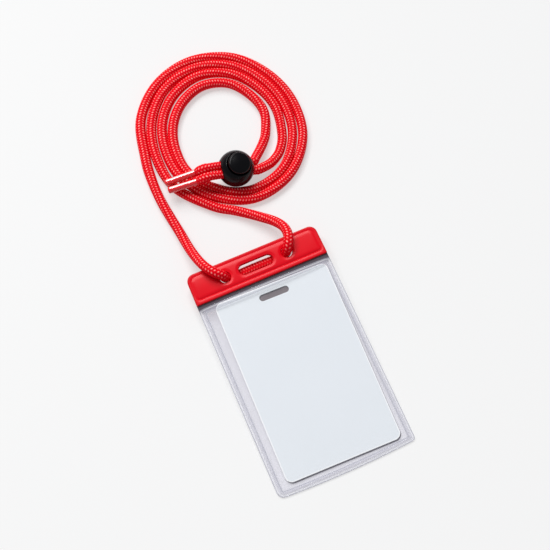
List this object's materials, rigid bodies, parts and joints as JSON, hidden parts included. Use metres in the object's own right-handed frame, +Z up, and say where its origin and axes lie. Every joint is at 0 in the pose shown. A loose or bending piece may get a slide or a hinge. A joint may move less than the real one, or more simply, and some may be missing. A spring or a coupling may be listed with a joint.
{
  "type": "lanyard badge holder",
  "caption": "Clear vinyl card pocket with a red header bar on a round braided neck cord whose ends run through a sprung ball lock.",
  "frame": {"origin": "table surface under the centre of the holder (pocket and bar), the cord left out", "axes": "+Y from the pocket's bottom to the bar, along the holder; +Z up off the table, out of the front panel; +X to the right of the front"},
  "size_m": [0.0831, 0.2096, 0.0174],
  "materials": {
    "red_vinyl": "satin, softly puffed",
    "clear_vinyl": "clear, glossy",
    "white_card": "smooth white plastic",
    "red_braid": "diamond braid with small pale flecks",
    "red_film": "glossy film wrapped on the cord end",
    "black_plastic": "glossy black",
    "spring_steel": "bare wire"
  },
  "bodies": {
    "holder": {"bar_front_strip": "red_vinyl", "bar_back_strip": "red_vinyl", "back_panel": "clear_vinyl", "front_panel": "clear_vinyl", "cord_left": "red_braid", "cord_right": "red_braid", "cord_behind_bar": "red_braid", "cord_tip_left": "red_film", "cord_tip_right": "red_film"},
    "card": {"id_card": "white_card"},
    "lock": {"lock_barrel": "black_plastic", "lock_spring": "spring_steel"},
    "button": {"lock_button": "black_plastic"}
  },
  "joints": [
    {"name": "lock_slide", "type": "slide", "parent": "holder", "child": "lock", "axis": [-0.9556, 0.1685, 0.2419], "range_m": [0, 0.004]},
    {"name": "button_press", "type": "slide", "parent": "lock", "child": "button", "axis": [-0.2222, 0.1277, -0.9666], "range_m": [0, 0.0021], "stiffness_N_per_m": 800, "springref_m": -0.002, "deforming": ["lock_spring"]},
    {"name": "card_slide", "type": "slide", "parent": "holder", "child": "card", "axis": [0, 0.9986, 0.0523], "range_m": [-0.0012, 0.0022]}
  ]
}
